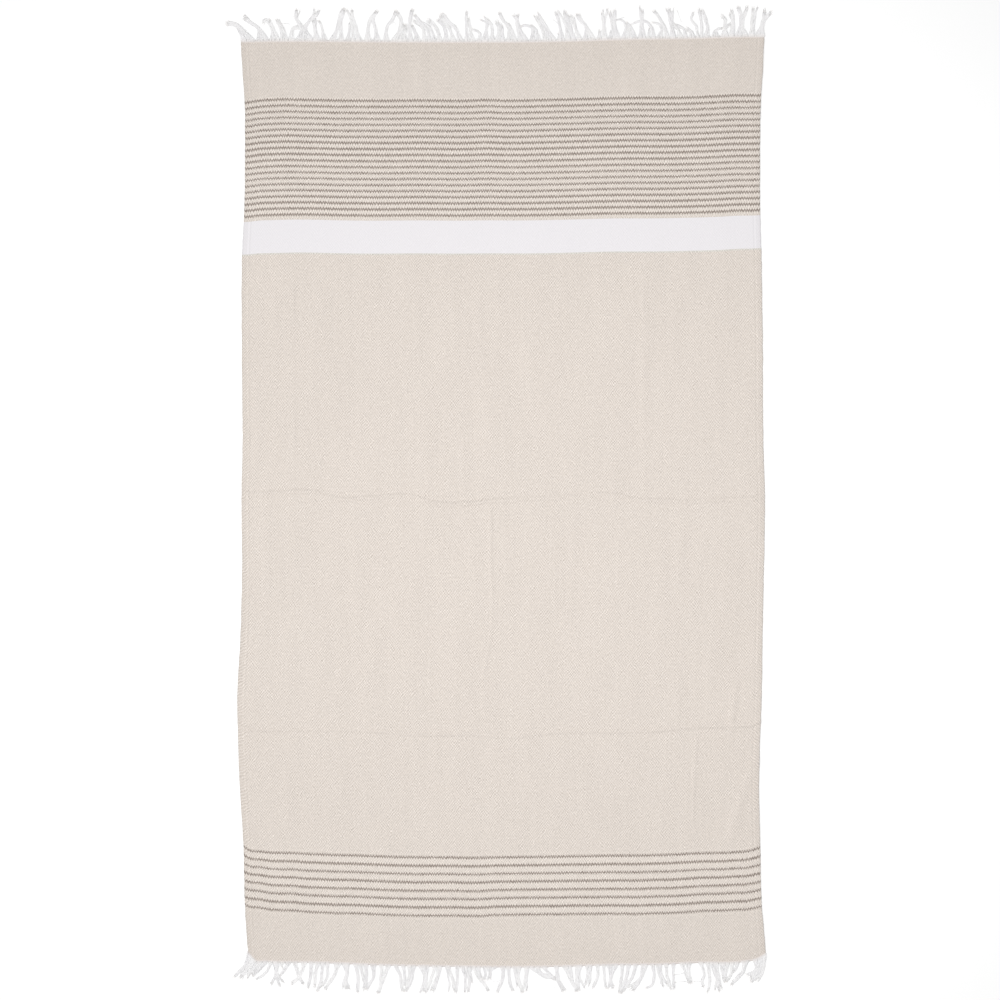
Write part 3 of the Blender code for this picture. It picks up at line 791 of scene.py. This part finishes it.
def woven_cotton():
    """White warp and coloured weft. Each noise's third number sets it apart."""
    made, tree, shader = new_material("woven_cotton", 0.95, 0.2)
    across, along, from_middle = attribute(tree, "cloth_place")
    wander_u = noise(across / (9 * MM), along / (14 * MM), 1.7, detail=2.0) - 0.5
    wander_v = noise(across / (13 * MM), along / (9 * MM), 9.2, detail=2.0) - 0.5
    ends = (across + wander_u * END_WANDER) / END_PITCH
    picks = (along + wander_v * PICK_WANDER) / PICK_PITCH
    end, pick = ends.op("FLOOR"), picks.op("FLOOR")
    beside, above = ends - end, picks - pick

    band = abs(along - sum(BAND) / 2) < (BAND[1] - BAND[0]) / 2
    line = abs(along - (BAND[0] - BAND_LINE / 2)) < BAND_LINE / 2
    edge = abs(from_middle) > LENGTH / 2
    from_side = abs(across) * -1 + WIDTH / 2
    selvedge = from_side < SELVEDGE_WIDTH
    plain = band.either(edge)
    point_u = abs(end % REPEAT - REPEAT / 2)
    pointed = abs(ends % REPEAT - REPEAT / 2)
    floated = along + (pointed - REPEAT / 4) * STRIPE_ZIGZAG
    upper_dark, upper_zone = in_stripes(floated, UPPER_STRIPES)
    lower_dark, lower_zone = in_stripes(floated, LOWER_STRIPES)
    dark = upper_dark.either(lower_dark)
    point_v = abs(pick % REPEAT - REPEAT / 2)
    twill = ((point_u - point_v) % 4) < 0.5
    tabby = ((end + pick) % 2) < 0.5
    raised = twill.towards(tabby, plain)
    height = crossing_height(beside, above, raised)

    lozenge = lozenges(across, along, ends, picks)
    upper_panel = from_middle > UPPER_PANEL
    lower_panel = from_middle < LOWER_PANEL
    lozenge = lozenge * (upper_panel * UPPER_PANEL_CALM + 1) * (lower_panel * LOWER_PANEL_CALM + 1)
    fuzz = noise(across / (4.0 * MM), along / (4.0 * MM), 4.1) - 0.5
    fleck = noise(across / (1.7 * MM), along / (2.1 * MM), 3.3) - 0.5

    dyed = lozenge * DARK_LOZENGE + fuzz * DARK_FUZZ + fleck * DARK_FLECK
    dyed = dyed + lower_zone * DARK_LOWER + DARK_MEAN
    weft = colour_mix(tree, WEFT, DARK_WEFT, dark * dyed)
    weft = colour_mix(tree, weft, BAND_WEFT, band)
    weft = colour_mix(tree, weft, EDGE_WEFT, edge)
    weft = colour_mix(tree, weft, LINE_WEFT, line)
    base = colour_mix(tree, weft, WARP, raised * WARP_SHOWS * (dark * WARP_HIDDEN + 1))

    slub = noise(across / (14 * MM), pick * 0.83, 2.3) - 0.5
    streak = noise(across / (22 * MM), along / (160 * MM), 6.4, detail=2.0) - 0.5
    thread = noise(across / (3 * MM), along / (250 * MM), 5.9) - 0.5
    uneven = fuzz * FUZZ_SHADE + slub * SLUB_SHADE + streak * STREAK_SHADE
    uneven = uneven + thread * THREAD_SHADE + lozenge * LOZENGE_SHADE
    calm = plain * PLAIN_CALM + 1
    # Painted shade in the gaps between the crossing yarns, times the uneven tone of the yarns and
    # the lozenges.
    shade = (height * GAP_PAINTED_SHADE + (1 - GAP_PAINTED_SHADE)) * (uneven * calm + 1)
    rib = noise((from_side / SELVEDGE_RIB).op("FLOOR"), 0.5, white=True) - 0.5
    shade = shade * (selvedge * (rib * RIB_SHADE + SELVEDGE_SHADE) + 1)
    shade = shade * (upper_panel * UPPER_PANEL_SHADE + 1) * (lower_panel * LOWER_PANEL_SHADE + 1)
    shade = shade * (upper_zone * UPPER_STRIPES_SHADE + 1) * (lower_zone * LOWER_STRIPES_SHADE + 1)
    base = colour_mix(tree, base, grey(shade), 1.0, "MULTIPLY")
    tree.links.new(base, shader.inputs["Base Color"])
    bump(tree, shader, height + lozenge * 0.5, 0.3 * MM, 0.25)
    return made


def loose_yarn():
    """White plied yarn, with painted shade in its ply grooves and, darker and warmer, where it
    leaves the cloth.
    """
    made, tree, shader = new_material("loose_yarn", 0.95, 0.8)
    around, along, number = attribute(tree, "yarn_place")
    ply = (around + along / PLY_LENGTH) * (2 * math.pi)
    ply = ply.op("SINE") * 0.5 + 0.5
    fuzz = noise(along / (1.2 * MM), around * 3, number * 40, detail=2.0) - 0.5
    # Painted shade in the grooves between the plies, with the yarn's own uneven tone from its fuzz.
    shade = ply * 0.04 + 0.96 + fuzz * 0.06
    base = colour_mix(tree, YARN, DEEP_YARN, number)
    # Painted shade where the yarn leaves the cloth: halfway to the heading's colour at the root,
    # fading out over the first stretch.
    root = (along / -SHADED_ROOT_LENGTH + 1).clipped()
    base = colour_mix(tree, base, EDGE_WEFT, root * 0.5)
    base = colour_mix(tree, base, grey(shade), 1.0, "MULTIPLY")
    tree.links.new(base, shader.inputs["Base Color"])
    bump(tree, shader, ply + fuzz * 0.6, 0.12 * MM, 0.2)
    return made


def pale_floor():
    made, _, shader = new_material("pale_floor", 0.9, 0.0)
    shader.inputs["Base Color"].default_value = FLOOR_COLOUR
    return made


def object_from(name, points, faces, finish, attribute_name=None, values=None):
    """A smooth object in the scene, with values kept on its points under this name."""
    mesh = bpy.data.meshes.new(name)
    mesh.from_pydata(points, [], faces)
    if attribute_name:
        layer = mesh.attributes.new(attribute_name, "FLOAT_VECTOR", "POINT")
        layer.data.foreach_set("vector", np.asarray(values, np.float32).ravel())
    mesh.polygons.foreach_set("use_smooth", [True] * len(mesh.polygons))
    mesh.materials.append(finish)
    mesh.update()
    made = bpy.data.objects.new(name, mesh)
    bpy.context.scene.collection.objects.link(made)
    return made


def stations(half, rim, stretches, fine, coarse):
    """Places from -half to half, closer together near the rim and in these stretches."""
    places = [-half]
    while places[-1] < half:
        at = places[-1]
        in_stretch = any(low * MM - coarse < at < high * MM for low, high in stretches)
        near_rim = half - abs(at) < rim or 0 < half - rim - at < coarse
        places.append(at + (fine if in_stretch or near_rim else coarse))
    places[-1] = half
    return np.array(places)


def make_cloth(finish):
    """The woven sheet: a fine upper face, a coarser underside and a rim round both."""
    half_width = WIDTH / 2 - RIM_INSET
    half_length = LENGTH / 2 + BARE_EDGE - RIM_INSET
    across = stations(half_width, FINE_SIDE, FINE_ACROSS, FINE_STEP, COARSE_ACROSS)
    along = stations(half_length, FINE_END, FINE_ALONG, FINE_STEP, COARSE_ALONG)
    columns, rows = len(across), len(along)

    def place(u, v, above):
        near_side = np.clip(1 - (WIDTH / 2 - np.abs(u)) / WAVE_DEPTH, 0, 1)
        x, y = laid(u, v)
        waves = soft_field(WAVE_SEED, v, u * 0 + np.sign(u), WAVE_LENGTH, 1.0)
        x = x + near_side * WAVE_SIZE * waves
        z = lift_of(u, v) + above
        return np.stack([x, y, z], axis=-1).reshape(-1, 3)

    grid_u, grid_v = np.meshgrid(across, along)
    upper = place(grid_u, grid_v, THICKNESS)
    rim = [(0, i) for i in range(columns - 1)]
    rim += [(j, columns - 1) for j in range(rows - 1)]
    rim += [(rows - 1, i) for i in range(columns - 1, 0, -1)]
    rim += [(j, 0) for j in range(rows - 1, 0, -1)]
    rim_j, rim_i = np.array(rim).T
    rim_u = across[rim_i] + RIM_INSET * ((rim_i == columns - 1) * 1.0 - (rim_i == 0))
    rim_v = along[rim_j] + RIM_INSET * ((rim_j == rows - 1) * 1.0 - (rim_j == 0))
    edge = place(rim_u, rim_v, RIM_HEIGHT)
    foot = place(across[rim_i], along[rim_j], 0.0)
    coarse_i = [*range(0, columns - 1, UNDER_STEP), columns - 1]
    coarse_j = [*range(0, rows - 1, UNDER_STEP), rows - 1]
    inner = [(j, i) for j in coarse_j[1:-1] for i in coarse_i[1:-1]]
    inner_j, inner_i = np.array(inner).T
    under = place(across[inner_i], along[inner_j], 0.0)

    points = np.concatenate([upper, edge, foot, under])
    values = np.zeros((len(points), 3))
    values[:, 0] = np.concatenate([grid_u.ravel(), rim_u, across[rim_i], across[inner_i]])
    values[:, 1] = np.concatenate([grid_v.ravel(), rim_v, along[rim_j], along[inner_j]])
    values[:, 2] = values[:, 1]
    values[:, 1] -= stripe_drift(values[:, 0], values[:, 1])

    faces = []
    for j in range(rows - 1):
        row = np.arange(columns - 1) + j * columns
        faces += np.stack([row, row + 1, row + columns + 1, row + columns], 1).tolist()
    edge_at = rows * columns
    foot_at = edge_at + len(rim)
    under_at = foot_at + len(rim)
    for k in range(len(rim)):
        m = (k + 1) % len(rim)
        a, b = rim[k][0] * columns + rim[k][1], rim[m][0] * columns + rim[m][1]
        faces.append([b, a, edge_at + k, edge_at + m])
        faces.append([edge_at + m, edge_at + k, foot_at + k, foot_at + m])
    below = {place_of: foot_at + k for k, place_of in enumerate(rim)}
    below.update({place_of: under_at + k for k, place_of in enumerate(inner)})
    for j0, j1 in zip(coarse_j, coarse_j[1:]):
        for i0, i1 in zip(coarse_i, coarse_i[1:]):
            fine_low = range(i0, i1) if j0 == 0 else [i0]
            fine_right = range(j0, j1) if i1 == columns - 1 else [j0]
            fine_high = range(i1, i0, -1) if j1 == rows - 1 else [i1]
            fine_left = range(j1, j0, -1) if i0 == 0 else [j1]
            loop = [(j0, i) for i in fine_low] + [(j, i1) for j in fine_right]
            loop += [(j1, i) for i in fine_high] + [(j, i0) for j in fine_left]
            faces.append([below[corner] for corner in reversed(loop)])
    return object_from("towel_cloth", points.tolist(), faces, finish, "cloth_place", values)


class Tubes:
    """Round tapering threads, gathered into one mesh."""

    def __init__(self):
        self.points = []
        self.faces = []
        self.round = []
        self.values = []
        self.used = 0

    def add(self, centres, radii, sides, number):
        """One thread through these centres, closed at both ends."""
        ahead = np.gradient(centres, axis=0)
        ahead /= np.linalg.norm(ahead, axis=1)[:, None]
        side = np.cross(ahead, (0.0, 0.0, 1.0))
        side /= np.linalg.norm(side, axis=1)[:, None]
        above = np.cross(side, ahead)
        turn = (np.arange(sides) / sides - 0.25) * 2 * np.pi
        spokes = side[:, None] * np.cos(turn)[:, None] + above[:, None] * np.sin(turn)[:, None]
        rings = centres[:, None] + radii[:, None, None] * spokes
        count = len(centres)
        index = self.used + np.arange(count * sides).reshape(count, sides)
        beside = np.roll(index, -1, axis=1)
        quads = np.stack([index[:-1], index[1:], beside[1:], beside[:-1]], axis=-1)
        self.faces += quads.reshape(-1, 4).tolist()
        self.faces += [index[0].tolist(), index[-1][::-1].tolist()]
        self.round += [True] * ((count - 1) * sides) + [False, False]
        gone = np.cumsum(np.linalg.norm(np.diff(centres, axis=0, prepend=centres[:1]), axis=1))
        values = np.empty((count, sides, 3))
        values[..., 0] = np.arange(sides) / sides
        values[..., 1] = gone[:, None]
        values[..., 2] = number
        self.points.append(rings.reshape(-1, 3))
        self.values.append(values.reshape(-1, 3))
        self.used += count * sides

    def finished(self, name, finish, smooth):
        points = np.concatenate(self.points).tolist()
        values = np.concatenate(self.values)
        made = object_from(name, points, self.faces, finish, "yarn_place", values)
        rounded = [smooth and face for face in self.round]
        made.data.polygons.foreach_set("use_smooth", rounded)
        return made


def curve_through(points, step):
    """Places on a smooth curve through these points, closer in its bends, and their distances."""
    points = np.asarray(points, float)
    legs = np.linalg.norm(np.diff(points, axis=0), axis=1)
    gone = np.concatenate([[0.0], np.cumsum(legs)])
    fine = np.linspace(0, gone[-1], 161)
    course = np.stack([smooth_through(gone, column, fine) for column in points[:, :2].T])
    heading = np.unwrap(np.arctan2(*np.gradient(course, axis=1)[::-1]))
    crowd = (fine[1] - fine[0]) / step + np.abs(np.diff(heading)) / RING_TURN
    passed = np.concatenate([[0.0], np.cumsum(crowd)])
    even = np.linspace(0, passed[-1], max(int(passed[-1]), 4) + 1)
    at = np.interp(even, passed, fine)
    return np.stack([smooth_through(gone, column, at) for column in points.T], axis=1), at


def ripple(rng, gone, sizes, lengths):
    """A wave along a thread, its size and length drawn from these ranges, in mm."""
    return rng.uniform(*sizes) * MM * np.sin(gone / rng.uniform(*lengths) / MM + rng.uniform(0, 6))


def grow_hair(hairs, rng, start, ahead, lengths):
    """One loose fibre that leaves a yarn and lies down beside it."""
    length = rng.uniform(*lengths) * MM
    bend = rng.normal(0, 0.5)
    share = np.linspace(0, 1, HAIR_RINGS)
    turn = rng.normal(0, 0.35) + bend * share
    heading = math.atan2(ahead[1], ahead[0]) + turn
    steps = np.stack([np.cos(heading), np.sin(heading)], axis=1) * length / (HAIR_RINGS - 1)
    centres = np.zeros((HAIR_RINGS, 3))
    centres[:, :2] = start[:2] + np.cumsum(steps, axis=0) - steps[0]
    centres[:, 2] = start[2] * (1 - share) + HAIR_RADIUS * 1.5 * share
    hairs.add(centres, HAIR_RADIUS * (1 - 0.6 * share), HAIR_SIDES, 0.0)


def woven_edge(x, outward):
    """How far along Y the cloth ends at this x."""
    end = outward * (LENGTH / 2 + BARE_EDGE)
    left, right = (side + MIDDLE_X for side in selvedge_lines(end))
    across = np.clip((x - left) / (right - left) - 0.5, -0.5, 0.5) * WIDTH
    return float(end + pick_bow(across, end) + MIDDLE_Y)


def grow_lock(yarns, hairs, rng, lock, roots, end):
    """The yarns of one lock: apart at the cloth, gathered into the lock, splayed at their ends."""
    outward = end.outward
    middle = (roots[0] + roots[1]) / 2
    path = [(middle, woven_edge(middle, outward))]
    path += [(x * MM, (end.line + outward * out) * MM) for x, out in lock.path]
    centre, gone = curve_through(path, RING_STEP)
    length = gone[-1]
    ahead = np.gradient(centre, axis=0)
    ahead /= np.linalg.norm(ahead, axis=1)[:, None]
    across = np.stack([ahead[:, 1], -ahead[:, 0]], axis=1) * outward
    sway = ripple(rng, gone, *LOCK_SWAY)
    centre = centre + across * (sway * np.minimum(gone / length * 2, 1))[:, None]
    count = lock.yarns * YARNS_FOR_ONE
    radius = YARN_RADIUS * end.loose * math.sqrt(count)
    twist = rng.uniform(-LOCK_TWIST, LOCK_TWIST)
    place = np.arange(count)
    spread = np.sqrt((place + 0.5) / count)
    angle = place * SPIRAL + rng.uniform(0, 6)
    order = np.argsort(spread * np.cos(angle))
    neck = min(end.neck, length * NECK_SHARE)
    gather = 1 - (1 - np.clip(gone / neck, 0, 1)) ** GATHERING
    share = gone / length
    lock_shade = rng.uniform(0, 1)
    for rank, k in enumerate(order):
        root = roots[0] + (roots[1] - roots[0]) * (rank + 0.5) / count
        root += rng.normal(0, ROOT_STRAY) * MM
        turned = angle[k] + twist * share
        beside = radius * spread[k] * np.cos(turned)
        beside += lock.splay * MM * (2 * (rank + 0.5) / count - 1) * share**3
        wave = ripple(rng, gone, *YARN_WAVE)
        high = YARN_RADIUS + radius * FLATNESS * (1 + spread[k] * np.sin(turned))
        high = high * (1 - TIP_FALL * share)
        bundled = centre + across * (beside + wave)[:, None]
        along = woven_edge(root, outward) + outward * (gone - ON_CLOTH)
        straight = np.stack([gone * 0 + root, along], axis=1)
        plan = straight * (1 - gather)[:, None] + bundled * gather[:, None]
        z = np.maximum(THICKNESS * (1 - gather) + high * gather, YARN_RADIUS * 1.1)
        last = len(gone) - int(rng.integers(0, max(2, round(len(gone) * UNEVEN_CUT))))
        centres = np.column_stack([plan, z])[:last]
        radii = YARN_RADIUS * (1 + 0.1 * np.sin(gone[:last] / 2.2 / MM + rng.uniform(0, 6)))
        radii[-2:] *= YARN_TAPER
        number = LOCK_SHARE * lock_shade + (1 - LOCK_SHARE) * rng.uniform(0, 1)
        yarns.add(centres, radii, YARN_SIDES, number)
        grow_hair(hairs, rng, centres[-1], centres[-1] - centres[-3], END_HAIR)
        if rng.uniform(0, 1) < HAIR_SHARE:
            at = rng.integers(2, max(3, last - 1))
            grow_hair(hairs, rng, centres[at], ahead[at], SIDE_HAIR)


def make_fringe(name, end, finish):
    """The yarns of one end of the towel, and the loose fibres on them."""
    rng = np.random.default_rng(FRINGE_SEED + end.outward)
    yarns, hairs = Tubes(), Tubes()
    firsts = [lock.first * MM for lock in end.locks]
    lasts = [lock.last * MM for lock in end.locks]
    for k, lock in enumerate(end.locks):
        before = (max(lasts[:k], default=firsts[k]) + firsts[k]) / 2
        after = (min(firsts[k + 1 :], default=lasts[k]) + lasts[k]) / 2
        low = max(min(before, firsts[k]), firsts[k] - end.roots)
        high = min(max(after, lasts[k]), lasts[k] + end.roots)
        grow_lock(yarns, hairs, rng, lock, (low, high), end)
    for thread in end.threads:
        points = [(x * MM, (end.line + end.outward * out) * MM, THREAD_HEIGHT) for x, out in thread]
        centres, gone = curve_through(points, RING_STEP)
        yarns.add(centres, np.full(len(gone), THREAD_RADIUS), YARN_SIDES, 0.5)
    return yarns.finished(name, finish, True), hairs.finished(name + "_fibres", finish, False)


def make_floor():
    corners = [(-1, -1), (1, -1), (1, 1), (-1, 1)]
    points = [(x * FLOOR_HALF, y * FLOOR_HALF, -FLOOR_DROP) for x, y in corners]
    return object_from("floor", points, [[0, 1, 2, 3]], pale_floor())


def add_lamp(lamp):
    """A round soft lamp that points at its target."""
    data = bpy.data.lights.new(lamp.name, "AREA")
    data.shape = "DISK"
    data.size = lamp.size
    data.energy = lamp.power
    made = bpy.data.objects.new(lamp.name, data)
    made.location = lamp.place
    ahead = Vector(np.subtract(lamp.target, lamp.place).tolist())
    made.rotation_mode = "QUATERNION"
    made.rotation_quaternion = ahead.to_track_quat("-Z", "Y")
    made.visible_camera = False
    bpy.context.scene.collection.objects.link(made)


def light_and_camera():
    """White studio light, and a camera straight above the towel."""
    world = bpy.data.worlds.new("studio")
    bpy.context.scene.world = world
    world.use_nodes = True
    background = world.node_tree.nodes["Background"]
    background.inputs["Color"].default_value = (1.0, 1.0, 1.0, 1.0)
    background.inputs["Strength"].default_value = WORLD_STRENGTH
    for lamp in LAMPS:
        add_lamp(lamp)
    bpy.context.scene.view_settings.view_transform = "Standard"
    # The weave's repeat is only a few pixels, and a filtered guide would smooth it away.
    bpy.context.scene.cycles.denoising_prefilter = "NONE"

    lens = bpy.data.cameras.new("camera")
    lens.lens = LENS
    lens.sensor_width = SENSOR_WIDTH
    camera = bpy.data.objects.new("camera", lens)
    camera.location = (*VIEW_MIDDLE, VIEW_WIDTH * LENS / SENSOR_WIDTH)
    bpy.context.scene.collection.objects.link(camera)
    bpy.context.scene.camera = camera


cloth = make_cloth(woven_cotton())
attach(cloth, "root")
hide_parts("cloth")

warp_yarn = loose_yarn()
fringe_pieces = []
for node, end in (("fringe_top", UPPER_END), ("fringe_bottom", LOWER_END)):
    yarns, fibres = make_fringe(node + "_yarns", end, warp_yarn)
    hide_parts(node)
    for piece in (yarns, fibres):
        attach(piece, "root")
    fringe_pieces += [yarns, fibres]

floor = make_floor()
light_and_camera()
